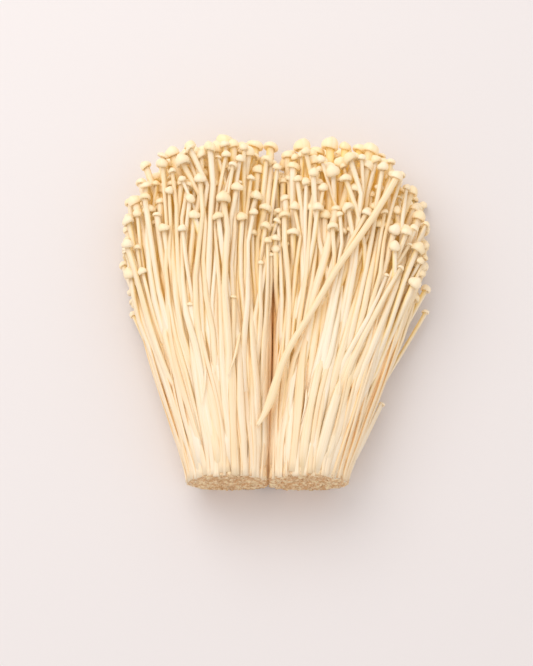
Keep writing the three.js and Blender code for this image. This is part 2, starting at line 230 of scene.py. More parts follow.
def add_floor():
    """A wide level sheet at z = 0."""
    bpy.ops.mesh.primitive_plane_add(size=FLOOR_SIZE)
    floor = bpy.context.object
    floor.name = "floor"
    finish = Finish("pale_surface")
    finish.set(Base_Color=FLOOR_COLOUR, Roughness=FLOOR_ROUGHNESS)
    floor.data.materials.append(finish.material)


add_floor()

# How a half grows. Its long thin mushrooms start in a fused root, round like half a bun in section, and fan
# out towards the caps. They press against each other and against the surface that they lie on.
LENGTH = 147  # mm, as are all sizes of the mushrooms below
BASE_WIDTH = 33.5  # of one half at the cut
FAN_WIDTH = 64  # of one half at its caps
FAN_START = 105  # distance from the cut at which it is that wide
FAN_EASE = 1.35
BASE_HEIGHT = 33
FAN_HEIGHT = 31
FLAT_SHARE = 0.86  # the section is cut flat at this share of its radius, below and along the seam
SEAM_SLOPE = 0.032  # how far the seam between the halves goes to the right for each mm up
SEAM_GAP = 0.7
PAD_DEPTH = 6  # of the tan root

# The main mushrooms of each half, apart from those listed further down. Shares are of the section's radius.
FILLING_COUNT = 62
TOP_LAYER = 0.5  # share above which the top layer takes their place
STEM_RADIUS = {"thin": 1.0, "thick": 1.8}
CAP_RATIO = {"small": 1.75, "large": 2.15}  # of a cap's radius to its stem's
OUTWARD = 0.43  # power that spreads the feet: 0.5 is even, and less crowds them outwards
FOOT_REACH = 0.88  # share that the outermost feet stand at
WANDER = 0.3  # share by which a tip may lie aside from its foot
SHORTEST = 0.34  # share of the length that the shortest lack
SHORT_POWER = 1.6  # few are short
SHORT_INSIDE = 0.35  # how short those in the middle are, over the outer ones
THINNER = {"if_short": 0.75, "by_draw": 0.6, "draw_from": 0.25}
DOME = {"centre": 25, "half": 39, "drop": 0.29}  # of the clump's end: place, half width, share of the length
TIP_MARGIN = 3  # from the tip to the dome, as a cap stands out beyond it
ROOT_SHARE = 0.85  # of a stem's radius that it has at the cut
FULL_AT = 60  # distance from the cut at which it has all of it

# The top layer of each half, left then right. Each row is a mushroom: its cap's x and y from the foot of the
# seam, how deep that lies under the clump's top, its stem's and its cap's radius, and where its foot is
# across the root, from 0 at the seam to 1.
TOP_MUSHROOMS = [
    [
        [-51.5, 135, 3, 1.25, 2.4, 0.45],
        [-45.5, 135.5, 4, 1.4, 2.6, 0.5],
        [-40.5, 139, 1, 1.6, 3.2, 0.28],
        [-33, 143.5, 9, 1.3, 2.6, 0.6],
        [-31.5, 139.5, 4, 1.8, 3.2, 0.42],
        [-34.5, 134, 5, 1.2, 2.2, 0.55],
        [-18.5, 145.5, 10, 1.6, 3.4, 0.3],
        [-21.5, 141.5, 4, 1.6, 3.1, 0.38],
        [-15, 142.5, 2, 1.4, 2.6, 0.12],
        [-26, 134.5, 5, 1.2, 2.1, 0.35],
        [-18.5, 132.5, 1, 1.4, 2.5, 0.33],
        [-5, 145, 9, 1.6, 3.5, 0.2],
        [-8.5, 139.5, 3, 1.5, 2.9, 0.25],
        [2, 144, 6, 1.5, 3.2, 0.08],
        [0.5, 135, 0, 1.2, 2.7, 0.07],
        [-5, 132.5, 2, 1.2, 2.7, 0.12],
        [-2, 128.5, 5, 1, 1.8, 0.1],
        [-21, 125.5, 1, 1.3, 2.3, 0.4],
        [-37, 125.5, 1, 1.1, 2.1, 0.75],
        [-34.5, 119.5, 3, 0.9, 1.7, 0.58],
        [-24.5, 119.5, 2, 0.9, 1.6, 0.45],
        [-52.5, 127.5, 4, 1.3, 2.4, 0.8],
        [-53, 119.5, 3, 1.6, 3, 0.78],
        [-58, 120, 2, 1.2, 2.3, 0.9],
        [-46, 118.5, 4, 1.2, 2.1, 0.7],
        [-57, 112.5, 2, 1.3, 2.2, 0.85],
        [-46.5, 112, 1, 1.2, 2.1, 0.7],
        [-59.5, 108.5, 2, 1.1, 2, 0.92],
        [-58.5, 102.5, 2, 1.2, 2.1, 0.9],
        [-44, 105.5, 2, 0.9, 1.7, 0.68],
    ],
    [
        [16.5, 143.5, 8, 1.6, 3.4, 0.2],
        [10.5, 139.5, 5, 1.4, 2.9, 0.12],
        [26, 143.5, 7, 1.6, 3.4, 0.3],
        [32.5, 143, 8, 1.4, 2.8, 0.4],
        [43.5, 141, 4, 1.9, 3.4, 0.3],
        [37.5, 137, 2, 1.5, 2.9, 0.18],
        [41.5, 133, 3, 1.5, 2.9, 0.4],
        [48.5, 135, 4, 1.5, 2.8, 0.48],
        [18.5, 136, 3, 1.3, 2.6, 0.25],
        [25.5, 132.5, 2, 1.4, 2.9, 0.34],
        [10.5, 133.5, 2, 1.4, 2.8, 0.17],
        [5.5, 128, 1, 1.1, 2, 0.04],
        [16.5, 125.5, 2, 1.4, 2.7, 0.2],
        [24, 125.5, 2, 1.4, 2.6, 0.32],
        [30, 127.5, 4, 1, 1.9, 0.4],
        [37.5, 124.5, 4, 1.1, 2, 0.5],
        [44, 121.5, 4, 1.1, 2, 0.6],
        [51, 129.5, 4, 1.2, 2.2, 0.6],
        [60.5, 123.5, 2, 1.6, 2.8, 0.58],
        [60, 117, 3, 1.2, 2, 0.7],
        [8.5, 120, 2, 1.2, 2, 0.12],
        [15.5, 115.5, 2, 1.2, 2.1, 0.22],
        [28.5, 114, 0, 1.6, 2.3, 0.22],
        [24.5, 114, 3, 1.2, 2.2, 0.3],
        [41.5, 113, 1, 1.4, 2.4, 0.24],
        [50, 109.5, 3, 1.2, 2, 0.6],
        [55.5, 107, 0, 1.5, 2.2, 0.4],
        [61, 106.5, 1, 1.3, 2.1, 0.6],
        [65, 109, 3, 1.3, 2.3, 0.75],
        [66, 102, 2, 1.2, 2.1, 0.85],
    ],
]
TOP_FOOT_DEPTH = 0.05  # share by which their feet lie under the root's top
TOP_BEND = 2  # power: they leave the root's direction late

# Strays that lean out of a clump: cap x, y and z, stem radius, and how far up the mushroom breaks away
STRAYS = [
    [
        [-57, 74, 7, 0.9, 0.45],
        [-61, 95, 9, 1.1, 0.6],
    ],
    [
        [67, 84, 12, 1.1, 0.5],
        [66.5, 75, 8, 0.9, 0.45],
        [50, 35.5, 6, 0.7, 0.2],
        [66, 93, 16, 1.2, 0.65],
    ],
]
STRAY_FOOT = 0.84  # share that their feet stand at
STRAY_SPREAD = 0.35  # radians between their feet
STRAY_MIDDLE = 1.5  # the number of the stray whose foot would be level
STRAY_CAP_RATIO = 1.9
STRAY_BEND = 1.5

# Thin, mostly shorter mushrooms that fill the gaps
THIN_COUNT = 250
THIN_RADIUS = (0.75, 1.3)
THIN_POWER = 1.4  # most are slim
THIN_CAP_RATIO = (1.9, 2.6)
THIN_OUTWARD = 0.22
THIN_TURN = 1  # radians by which their spiral is turned from the others'
THIN_FAN = 1.06  # how far out a tip is over its foot
THIN_WANDER = 0.5
THIN_LEAN = 1.3  # added to the wander of some
THIN_UPRIGHT = 0.75  # share of them that don't lean
THIN_SHORTEST = 0.28
THIN_BEND = (1, 3)
THIN_NEAREST = {"root": 1.1, "cap": -0.3}  # how close to the seam they come, in their own radii
THIN_CLOSE = (70, 110)  # between these distances from the cut they come closer

# Stunted mushrooms on top of each half, whose caps show halfway up the stems. Rows are as for the top layer.
STUNTED = [
    [
        [-33, 73, 0, 0.7, 1.2, 0.6],
        [-16, 76, 0, 0.8, 1.4, 0.35],
        [-3.5, 91.5, 0, 0.8, 1.3, 0.1],
        [0.5, 95, 0, 0.7, 1.2, 0.03],
    ],
    [
        [53, 89, 0, 0.8, 1.5, 0.6],
        [50.5, 86, 0, 0.7, 1.2, 0.55],
        [56, 99, 1, 0.8, 1.4, 0.65],
        [32, 111, 0, 0.8, 1.5, 0.35],
    ],
]

# How the mushrooms settle: their lines are points on planes that lie across the bunch, PLANE_STEP apart.
PLANE_STEP = 5
PLANES = -(-LENGTH // PLANE_STEP) + 2
ROUNDS = 70
SINKING_ROUNDS = 42
SINK = 0.05  # mm in each round
ROOTED = 2  # planes at the root where nothing is pushed
PUSH = 0.35  # share of an overlap that is undone in each round
SMOOTHING = 0.2  # share of a bend that is undone in each round
SPREAD_MARGIN = {"side": 1, "top": 2}  # how far they may stand out over the clump's outline
NEVER_ZERO = 1e-9
GOLDEN_ANGLE = pi * (3 - sqrt(5))

# The first numbers of the seeded draws of each kind, of which the right half's are RIGHT_SEEDS more
FILLING_SEEDS = 1
THIN_SEEDS = 1001
STEM_SEEDS = 3001
CAP_SEEDS = 5001
RIGHT_SEEDS = 500


def mix(a, b, t):
    """The value at a share t of the way from a to b."""
    return a + (b - a) * t


def draws(n, k):
    """The k-th seeded draw of each number n, from 0 to 1: the digits of a large sine."""
    s = np.sin(n * 12.9898 + k * 78.233) * 43758.5453
    return s - np.floor(s)


def seeds(first, n, side):
    """The numbers that the draws of mushrooms n of a half start from."""
    return n + first + (0 if side < 0 else RIGHT_SEEDS)


def seam(y):
    """The seam's x at y."""
    return SEAM_SLOPE * y


def width_at(y):
    """A clump's width at y: base + (fan - base) * sin(pi / 2 * (y / FAN_START) ** FAN_EASE)."""
    return mix(BASE_WIDTH, FAN_WIDTH, np.sin(pi / 2 * np.clip(y / FAN_START, 0, 1) ** FAN_EASE))


def height_at(y):
    """A clump's height at y: straight from the base's to the fan's."""
    return mix(BASE_HEIGHT, FAN_HEIGHT, np.clip(y / LENGTH, 0, 1))


def share_of(u):
    """How far across or up the section a place on the unit disc is, from 0 at the flat to 1."""
    return (np.maximum(u, -FLAT_SHARE) + FLAT_SHARE) / (1 + FLAT_SHARE)


def place(side, u, v, y):
    """x and z in the clump's section at y of the point (u, v) of the unit disc."""
    return seam(y) + side * (SEAM_GAP / 2 + width_at(y) * share_of(u)), height_at(y) * share_of(v)


def reach_at(across):
    """The longest that a mushroom grows at this distance from the seam. The clump's end is a low dome:
    LENGTH * (1 - drop * |(across - centre) / half| ** 3)."""
    off = np.abs(across - DOME["centre"]) / DOME["half"]
    return LENGTH * (1 - DOME["drop"] * off**3) - TIP_MARGIN


def spiral(count, outward, turn=0):
    """Feet on the unit disc in a sunflower spiral, and how far out each is."""
    k = np.arange(count)
    rho = ((k + 0.5) / count) ** outward
    angle = k * GOLDEN_ANGLE + turn
    return FOOT_REACH * rho * np.array([np.cos(angle), np.sin(angle)]), rho


def filling_of(side):
    """The mushrooms below the top layer: feet in a sunflower spiral, and tips in the same order."""
    n = seeds(FILLING_SEEDS, np.arange(FILLING_COUNT), side)
    root, rho = spiral(FILLING_COUNT, OUTWARD)
    tip = root + WANDER * (np.array([draws(n, 0), draws(n, 1)]) - 0.5)
    short = draws(n, 2) ** SHORT_POWER * mix(SHORT_INSIDE, 1, rho)
    by_draw = THINNER["by_draw"] * (draws(n, 3) - THINNER["draw_from"])
    thin = np.clip(THINNER["if_short"] * short + by_draw, 0, 1)
    stem = mix(STEM_RADIUS["thick"], STEM_RADIUS["thin"], thin)
    length = reach_at(FAN_WIDTH * share_of(tip[0])) * (1 - SHORTEST * short)
    cap = stem * mix(CAP_RATIO["small"], CAP_RATIO["large"], draws(n, 4))
    grown = np.array([*root, *tip, length, stem, cap, np.ones(FILLING_COUNT)])
    return grown[:, root[1] <= TOP_LAYER]


def under_top(share, under):
    """A place on the unit disc at this share of the way across it, so far under its top."""
    u = np.clip(share, 0, 1) * (1 + FLAT_SHARE) - FLAT_SHARE
    return np.array([u, np.sqrt(1 - u**2) - under])


def listed(side, rows):
    """The mushrooms of one half in a list like that of the top layer."""
    x, y, depth, stem, cap, foot = np.array(rows[0 if side < 0 else 1]).T
    across = (side * (x - seam(y)) - SEAM_GAP / 2) / width_at(y)
    root = FOOT_REACH * under_top(foot, TOP_FOOT_DEPTH)
    tip = under_top(across, depth / height_at(y) * (1 + FLAT_SHARE))
    return np.array([*root, *tip, y, stem, cap, np.full(len(y), TOP_BEND)])


def strays_of(side):
    """The mushrooms that lean out of the clump, and for each the x and z of its cap and where it leaves."""
    x, y, z, stem, leaves = np.array(STRAYS[0 if side < 0 else 1]).T
    angle = (np.arange(len(x)) - STRAY_MIDDLE) * STRAY_SPREAD
    root = STRAY_FOOT * np.array([np.cos(angle), np.sin(angle)])
    grown = np.array([*root, *root, y, stem, stem * STRAY_CAP_RATIO, np.ones(len(y))])
    return grown, np.array([x, z, leaves])


def thin_ones_of(side):
    """The thin mushrooms that fill the gaps: another spiral, crowded outwards."""
    n = seeds(THIN_SEEDS, np.arange(THIN_COUNT), side)
    root, _ = spiral(THIN_COUNT, THIN_OUTWARD, THIN_TURN)
    wander = THIN_WANDER + THIN_LEAN * (draws(n, 6) > THIN_UPRIGHT)
    tip = root * THIN_FAN + wander * (np.array([draws(n, 0), draws(n, 1)]) - 0.5)
    tip = tip / np.maximum(1, np.hypot(*tip))
    stem = mix(*THIN_RADIUS, draws(n, 3) ** THIN_POWER)
    length = reach_at(FAN_WIDTH * share_of(tip[0])) * (1 - THIN_SHORTEST * draws(n, 2))
    cap = stem * mix(*THIN_CAP_RATIO, draws(n, 4))
    return np.array([*root, *tip, length, stem, cap, mix(*THIN_BEND, draws(n, 5))])


def stem_at(grown, y):
    """A stem's radius at y: slender at the root."""
    return grown[5][:, None] * mix(ROOT_SHARE, 1, np.clip(y / FULL_AT, 0, 1))


def planes_y():
    """How far from the cut each plane is."""
    return np.arange(PLANES) * PLANE_STEP


def last_plane(grown):
    """The last plane that each mushroom's line needs."""
    return np.ceil(grown[4] / PLANE_STEP).astype(int)


def first_places(side, grown, away_to=None):
    """x and z of each mushroom's line at every plane, straight in the clump's own section. The last ones may
    be strays: away_to says where their caps are, and they are bent there."""
    y = planes_y()
    t = np.clip(y / grown[4][:, None], 0, 1)
    led = t ** grown[7][:, None]
    u = mix(grown[0][:, None], grown[2][:, None], led)
    v = mix(grown[1][:, None], grown[3][:, None], led)
    x, z = place(side, u, v, y)
    if away_to is not None:
        target_x, target_z, leaves = away_to[:, :, None]
        rows = slice(-away_to.shape[1], None)
        away = np.clip((t[rows] - leaves) / (1 - leaves), 0, 1) ** STRAY_BEND
        x[rows] = mix(x[rows], target_x, away)
        z[rows] = mix(z[rows], target_z, away)
    return x, z


def straightened(values, inner):
    """Each line drawn straighter where inner is true."""
    bent = values.copy()
    between = (values[:, :-2] + values[:, 2:]) / 2 - values[:, 1:-1]
    bent[:, 1:-1] += np.where(inner[:, 1:-1], SMOOTHING * between, 0)
    return bent


def nearest_thin(y, radius):
    """How close to the seam the thin mushrooms come: close at the root, and closer towards the caps."""
    closer = np.clip((y - THIN_CLOSE[0]) / (THIN_CLOSE[1] - THIN_CLOSE[0]), 0, 1)
    return mix(THIN_NEAREST["root"], THIN_NEAREST["cap"], closer) * radius


def settle(side, grown, x, z, moving, free):
    """Stems as discs in cross-sections. Where they overlap they push each other apart, and they sink and
    straighten. Only rows from `moving` on change, and rows from `free` on may leave the clump's outline."""
    y = planes_y()
    last = last_plane(grown)[:, None]
    plane = np.arange(PLANES)
    at_cap = np.abs(y - grown[4][:, None]) < PLANE_STEP
    radius = np.where(at_cap, grown[6][:, None], stem_at(grown, y))
    there = (plane >= ROOTED) & (plane <= last)
    inner = (plane >= ROOTED) & (plane < last)
    meet = there[moving:, None] & there[None]
    reach = np.where(meet, radius[moving:, None] + radius[None], 0)
    number = np.arange(len(last))[:, None]
    widest = np.where(number >= free, np.inf, width_at(y) - radius + SPREAD_MARGIN["side"])
    nearest = nearest_thin(y, radius) if moving else SEAM_GAP / 2 + radius
    for turn in range(ROUNDS):
        dx = x[moving:, None] - x[None]
        dz = z[moving:, None] - z[None]
        apart = np.hypot(dx, dz) + NEVER_ZERO
        push = PUSH * np.maximum(0, reach - apart) / apart
        sinking = SINK if turn < SINKING_ROUNDS else 0
        x[moving:] += (push * dx).sum(1)
        z[moving:] += (push * dz).sum(1) - sinking * there[moving:]
        x[moving:] = straightened(x[moving:], inner[moving:])
        z[moving:] = straightened(z[moving:], inner[moving:])
        out = np.maximum(side * (x - seam(y)), nearest)
        x[moving:] = (seam(y) + side * np.minimum(out, widest))[moving:]
        z[moving:] = np.clip(z, radius, height_at(y) + SPREAD_MARGIN["top"])[moving:]
    return x, z


def grow(side):
    """All mushrooms of a half. Eight rows say each one's root u and v, tip u and v, length, stem radius, cap
    radius and how late it bends. Then come its settled line's x and z at every plane. The thin ones are
    last, and give way to the others."""
    strays, away_to = strays_of(side)
    main = np.concatenate([filling_of(side), listed(side, TOP_MUSHROOMS), strays], 1)
    x, z = first_places(side, main, away_to)
    x, z = settle(side, main, x, z, 0, main.shape[1] - strays.shape[1])
    thin = np.concatenate([thin_ones_of(side), listed(side, STUNTED)], 1)
    thin_x, thin_z = first_places(side, thin)
    grown = np.concatenate([main, thin], 1)
    x = np.concatenate([x, thin_x])
    z = np.concatenate([z, thin_z])
    x, z = settle(side, grown, x, z, main.shape[1], grown.shape[1])
    return grown, x, z


def main_and_thin(clump):
    """A half's arrays, split into its main mushrooms and its thin ones, each with the mushrooms' numbers."""
    grown, x, z = clump
    n = np.arange(grown.shape[1])
    thin = THIN_COUNT + len(STUNTED[0])
    for kind, rows in (("main", slice(None, -thin)), ("thin", slice(-thin, None))):
        yield kind, n[rows], grown[:, rows], x[rows], z[rows]


HALVES = [(-1, "left"), (1, "right")]
clumps = {name: grow(side) for side, name in HALVES}

# The bunch's own origin: from the foot of the seam on the surface to the middle of the CAD model's box
pad_low, pad_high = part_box("left_root_pad")
SHIFT = np.array([pad_high.x / MM - seam(PAD_DEPTH) + SEAM_GAP / 2, pad_low.y / MM, 0])

# Stems: round, slim and smooth above, and flattened into strips towards the root, where they have grown
# together side by side. Their flesh is pale cream and shines softly, with fine fibres along it, and it lets
# some light through.
STEM_MESH = {"main": (22, 10), "thin": (10, 6)}  # points along a stem, and sides
STEM_SWELL = {"main": 1.1, "thin": 1.0}  # drawn radius over the settled one, as pressed stems have no gaps
STEM_UNEVEN = 0.05  # share by which a stem swells and narrows along its length
UNEVEN_LENGTH = 7
STRIP_END = 110  # distance from the cut up to which the stems are flattened
STRIP_HALF = 2.1  # half the width of a strip at the root, in the outer ring
STRIP_WIDTHS = (0.75, 1.2)  # times that
STRIP_DEPTH = 0.72  # its thickness over a round stem's
RING_FROM = 0.62  # feet further out than this share are strips
RING_OVER = 0.2
RING_FOOT = (0.5, 1.4)  # distance from the cut at which the outer stems start, as the cut is ragged
ROOT_OUT = 1.1  # how far the outer feet stand out over the pad
ROOT_OUT_END = 30
WAVE = 0.45  # how far a stem waves from its line
WAVE_LENGTHS = (9, 16)  # over 2 pi
CUT_FADE = 4  # distance from the cut over which the painted shade of depth sets in
TIP_FADE = {"from": 24, "over": 16, "by": 0.33}  # it fades again towards the caps, where light gets in
INNER_SHADE = 0.46  # painted shade on a stem's inner side, as if it lay this much deeper
# Painted shade low in the gap between the halves: how wide it is, below which height it sets in, and
# how far up the stems it goes
SEAM_SHADE = {"width": 3.2, "below": 26.5, "over": 8, "until": 110, "fade": 30}
FULL_TURN = 6.3  # radians, once round
STREAKS_APART = 7.3  # between the patterns of streaks on one stem and the next


def along(values, last, y):
    """Catmull-Rom interpolation of each row of values, given at the planes, at the distances y."""
    last = last[:, None]
    j = np.clip(np.floor(y / PLANE_STEP).astype(int), 0, last - 1)
    t = y / PLANE_STEP - j
    around = [np.clip(j + k, 0, last) for k in (-1, 0, 1, 2)]
    before, here, after, next_one = [np.take_along_axis(values, k, 1) for k in around]
    bend = 2 * before - 5 * here + 4 * after - next_one
    turn = 3 * (here - after) + next_one - before
    return here + 0.5 * t * (after - before + t * (bend + t * turn))


def unit(vectors):
    """The vectors along the last axis, at length 1."""
    return vectors / np.linalg.norm(vectors, axis=-1, keepdims=True)


def frames(points, towards):
    """Two directions square to each line: the one nearest to `towards`, and one sideways."""
    tangent = unit(np.gradient(points, axis=1))
    outward = unit(towards - (towards * tangent).sum(-1, keepdims=True) * tangent)
    return outward, np.cross(outward, tangent)


def angles(sides):
    """So many angles, evenly spaced round a ring."""
    return np.arange(sides) * 2 * pi / sides


def tubes(points, directions, half, depth, sides):
    """Rings of a flattened tube round each line: half * cos(a) sideways and depth * sin(a) outwards."""
    outward, sideways = directions
    angle = angles(sides)
    return (
        points[:, :, None]
        + sideways[:, :, None] * half[..., None, None] * np.cos(angle)[:, None]
        + outward[:, :, None] * depth[..., None, None] * np.sin(angle)[:, None]
    )


def inner_side(sides):
    """How much each side of a tube faces inwards, from 0 to 1."""
    return (1 - np.sin(angles(sides))) / 2


def streak_place(n, half, sides):
    """Where across the pattern of streaks each point of the tubes n lies."""
    return STREAKS_APART * n[:, None, None] + half[..., None] * np.cos(angles(sides))


def phase(n, k):
    """A seeded angle for each number n, for lines of points."""
    return FULL_TURN * draws(n, k)[:, None]


def smooth(t):
    """The smooth step from 0 to 1: t * t * (3 - 2 * t)."""
    t = np.clip(t, 0, 1)
    return t * t * (3 - 2 * t)


def shell_faces(count, rings, sides):
    """Quads and triangles of `count` closed shells, each of rings of points with a pole at either end."""
    size = rings * sides + 2
    row = np.arange(rings - 1)[:, None] * sides
    here = np.arange(sides)[None]
    after = (here + 1) % sides
    quads = np.stack([row + here, row + after, row + sides + after, row + sides + here], -1).reshape(-1, 4)
    last = (rings - 1) * sides
    foot = np.stack([after[0], here[0], np.full(sides, size - 2)], -1)
    head = np.stack([last + here[0], last + after[0], np.full(sides, size - 1)], -1)
    base = np.arange(count)[:, None, None] * size
    return (quads + base).reshape(-1, 4), (np.concatenate([foot, head]) + base).reshape(-1, 3)


def add_piece(name, points, quads, triangles, slot, replaced, values):
    """A smooth mesh of points in mm, riding on the bunch in place of its CAD nodes. Its slot argument is not
    used. It carries the values at its points, and nothing of it lies below the surface under the bunch."""
    mesh = bpy.data.meshes.new(name)
    points = np.stack([points[:, 0], points[:, 1], np.maximum(points[:, 2], 0)], -1)
    corners = np.concatenate([quads.ravel(), triangles.ravel()])
    sizes = np.concatenate([np.full(len(quads), 4), np.full(len(triangles), 3)])
    starts = np.concatenate([[0], np.cumsum(sizes)[:-1]])
    mesh.vertices.add(len(points))
    mesh.vertices.foreach_set("co", ((points + SHIFT) * MM).astype(np.float32).ravel())
    mesh.loops.add(len(corners))
    mesh.loops.foreach_set("vertex_index", corners.astype(np.int32))
    mesh.polygons.add(len(sizes))
    mesh.polygons.foreach_set("loop_start", starts.astype(np.int32))
    mesh.polygons.foreach_set("use_smooth", np.full(len(sizes), True))
    for key, numbers in values.items():
        layer = mesh.attributes.new(key, "FLOAT", "POINT")
        layer.data.foreach_set("value", numbers.astype(np.float32).ravel())
    mesh.update(calc_edges=True)
    mesh.validate()
    piece = bpy.data.objects.new(name, mesh)
    bpy.context.scene.collection.objects.link(piece)
    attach(piece, "root")
    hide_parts(*replaced)
    return piece


def add_shells(name, rings, poles, slot, replaced, values):
    """Closed shells from rings of points (shell, ring, side) and their two poles. Values are one number for
    the whole piece, or one for each shell, ring or point of it."""
    count, ring_count, sides = rings.shape[:3]
    points = np.concatenate([rings.reshape(count, -1, 3), poles], 1).reshape(-1, 3)
    spread = {}
    for key, value in values.items():
        value = np.atleast_2d(value)
        of_rings = value.reshape(*value.shape[:2], -1) + np.zeros((count, ring_count, sides))
        ends = of_rings[:, 0, :1], of_rings[:, -1, :1]
        spread[key] = np.concatenate([of_rings.reshape(count, -1), *ends], 1)
    return add_piece(name, points, *shell_faces(count, ring_count, sides), slot, replaced, spread)


def stem_lines(n, grown, x, z, from_y, stations):
    """So many points of each stem's line, evenly spaced, with a slight wave: WAVE * sin(pi * t) wide."""
    last = last_plane(grown)
    t = np.linspace(0, 1, stations)[None]
    y = mix(from_y[:, None], grown[4][:, None], t)
    n = n + 0.5
    swell = WAVE * np.sin(pi * t)
    across = swell * np.sin(y / mix(*WAVE_LENGTHS, draws(n, 11))[:, None] + phase(n, 12))
    up = swell * np.sin(y / mix(*WAVE_LENGTHS, draws(n, 13))[:, None] + phase(n, 14))
    return np.stack([along(x, last, y) + across, y, along(z, last, y) + up], -1)


def depth_in_clump(side, points):
    """How deep points lie inside a clump, from 0 at its outline to 1 in its middle."""
    across = side * (points[..., 0] - seam(points[..., 1])) / width_at(points[..., 1])
    up = points[..., 2] / height_at(points[..., 1])
    disc = [share * (1 + FLAT_SHARE) - FLAT_SHARE for share in (across, up)]
    return np.clip(1 - np.hypot(*disc), 0, 1)


def gap_at(points):
    """How much painted shade points get because they lie low in the gap between the halves, from 0 to 1."""
    near = 1 - smooth(np.abs(points[..., 0] - seam(points[..., 1])) / SEAM_SHADE["width"])
    low = smooth((SEAM_SHADE["below"] - points[..., 2]) / SEAM_SHADE["over"])
    closed = smooth((SEAM_SHADE["until"] - points[..., 1]) / SEAM_SHADE["fade"])
    return near * low * closed


def add_stems(side, name, kind, n, grown, x, z):
    """One piece of stems of a half, as flattened tubes with a pole at either end."""
    stations, sides = STEM_MESH[kind]
    ring = smooth((np.hypot(grown[0], grown[1]) / FOOT_REACH - RING_FROM) / RING_OVER)
    ragged = mix(*RING_FOOT, draws(n + STEM_SEEDS, 1) ** 2)
    points = stem_lines(n, grown, x, z, np.where(ring > 0.5, ragged, PAD_DEPTH), stations)
    n = seeds(STEM_SEEDS, n, side)
    y = points[..., 1]
    towards = np.stack([side * grown[0], np.zeros(len(n)), grown[1]], -1)[:, None]
    rooted = 1 - smooth(y / STRIP_END)
    out = ROOT_OUT * ring[:, None] * (1 - smooth(y / ROOT_OUT_END))
    directions = frames(points, towards)
    points = points + directions[0] * out[..., None]
    radius = stem_at(grown, y)
    strip = rooted * ring[:, None]
    half = mix(radius, STRIP_HALF * mix(*STRIP_WIDTHS, draws(n, 2))[:, None], strip)
    depth = radius * mix(1, STRIP_DEPTH, strip)
    swollen = STEM_SWELL[kind] + STEM_UNEVEN * np.sin(y / UNEVEN_LENGTH + phase(n, 3))
    rings = tubes(points, directions, half * swollen, depth * swollen, sides)
    lit = 1 - TIP_FADE["by"] * smooth((y - grown[4][:, None] + TIP_FADE["from"]) / TIP_FADE["over"])
    # Painted shade: amber for lying deep in the clump and for facing inwards, less near the caps
    shaded = (depth_in_clump(side, points) * lit)[..., None] + INNER_SHADE * inner_side(sides)
    values = {
        "tone": draws(n, 4)[:, None],
        "across": streak_place(n, half, sides),
        "reach": y,
        "depth_shade": smooth(y / CUT_FADE)[..., None] * shaded,
        "gap": gap_at(rings),
        "rooted": rooted,
    }
    replaced = [f"{name}_mushrooms"]
    return add_shells(f"{name}_{kind}_stems", rings, points[:, [0, -1]], "mushroom_flesh", replaced, values)


# The finish of all flesh, from what the meshes carry: "tone" is each mushroom's own, the depth shade is
# painted shade for how deep inside the clump a point lies and how far it faces inwards, "gap" is painted
# shade low in the seam, and "rooted" says how near the root it is.
# "across" and "reach" place the streaks.
FIBRE = {"width": 0.4, "length": 16.0}
FIBRE_BUMP = {"height": 0.3 * MM, "strength": 0.7}
CLOUD = {"size": 9 * MM, "detail": 2.0, "squeeze": (1, 0.3, 1)}
WARMTH = {"tone": 0.5, "fibre": 1.3, "cloud": 0.6, "from": 0.85, "rooted": 0.1}
SHADE_RAMP = (2.2, 0.28)  # slope and start of the painted shade of depth
GLOW_SLOPE = 1.8
GLOW_MOST = 0.4
GLOW_STRENGTH = 0.2
# The amber of the painted shade low in the seam, and the most of it that a point gets
SEAM_SHADE_COLOUR = srgb(224, 156, 44)
SEAM_SHADE_SHARE = 0.9
SHINE = {"fibre": 0.2, "least": 0.38}  # of the roughness
BLACK = (0.0, 0.0, 0.0, 1.0)


def flesh_finish(name, pale, warm, shaded, glow_from):
    """Cream flesh: paler and warmer mushrooms, fibres along them, and painted shade, a deeper amber, inside
    the clump and in the seam. A faint painted glow stands in for light that passes through. It sets in where
    GLOW_SLOPE times the painted depth shade is over glow_from."""
    finish = Finish(name)
    fibre = finish.streaks(**FIBRE)
    cloud = finish.noise(**CLOUD)
    tone = finish.attribute("tone")
    depth_shade = finish.attribute("depth_shade")
    rooted = finish.attribute("rooted")
    mottled = tone * WARMTH["tone"] + fibre * WARMTH["fibre"] + cloud * WARMTH["cloud"]
    warmth = (mottled - WARMTH["from"] - rooted * WARMTH["rooted"]).clipped()
    colour = finish.mix(warmth, pale, warm)
    # Painted shade: deeper amber where a point lies deep in the clump or faces inwards
    colour = finish.mix(depth_shade.ramp(*SHADE_RAMP), colour, shaded)
    # Painted shade low in the seam between the halves
    colour = finish.mix(finish.attribute("gap") * SEAM_SHADE_SHARE, colour, SEAM_SHADE_COLOUR)
    bump = finish.bump(fibre, FIBRE_BUMP["height"], FIBRE_BUMP["strength"])
    finish.set(Base_Color=colour, Roughness=fibre * SHINE["fibre"] + SHINE["least"], Normal=bump)
    glow = finish.mix(depth_shade.ramp(GLOW_SLOPE, glow_from).up_to(GLOW_MOST), BLACK, shaded)
    finish.set(Emission_Color=glow, Emission_Strength=GLOW_STRENGTH)
    return finish


STEM_COLOURS = srgb(255, 240, 216), srgb(253, 219, 159), srgb(255, 220, 124)  # pale, warm, and the amber of the painted shade
STEM_GLOW_FROM = 0.45
stem_finish = flesh_finish("stem_flesh", *STEM_COLOURS, STEM_GLOW_FROM)
for side, name in HALVES:
    for kind, *mushrooms in main_and_thin(clumps[name]):
        stems = add_stems(side, name, kind, *mushrooms)
        stems.data.materials.append(stem_finish.material)

# Caps: small smooth domes whose rims curl under, each grown on the end of its stem, some tilted and some
# still flat buttons. They are of the same flesh, a little paler.
CAP_SIDES = {"main": 14, "thin": 10}
CAP_RINGS = {"main": slice(None), "thin": [0, 2, 4, 5, 7]}  # which of the outline's points they have
